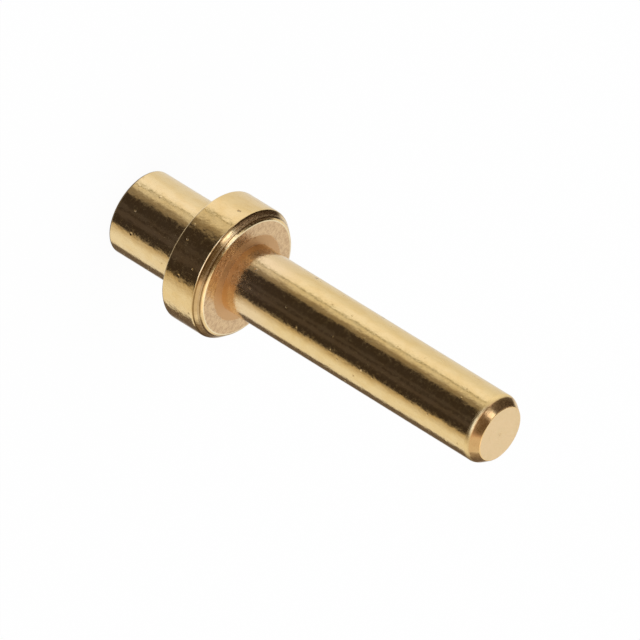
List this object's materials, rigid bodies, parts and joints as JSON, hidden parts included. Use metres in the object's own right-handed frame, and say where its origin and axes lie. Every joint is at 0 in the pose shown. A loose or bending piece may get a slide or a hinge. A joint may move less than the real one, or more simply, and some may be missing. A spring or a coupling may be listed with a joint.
{
  "type": "pc pin",
  "caption": "Turned gold-plated printed-circuit pin: a long round contact pin with a bevelled tip, a seating collar and a short plain tail that goes into a board.",
  "frame": {"origin": "on the pin's axis, in the plane of the collar's underside, which sits on the board", "axes": "+Z along the axis towards the contact pin's tip, so the tail points down into the board; the part is round, so X and Y are free"},
  "size_m": [0.0024, 0.0024, 0.0082],
  "materials": {
    "gold_plated_brass": "bright turned brass with gold plating, satin on the collar's front face and the tip"
  },
  "bodies": {
    "root": {"pc_pin": "gold_plated_brass"}
  },
  "joints": []
}
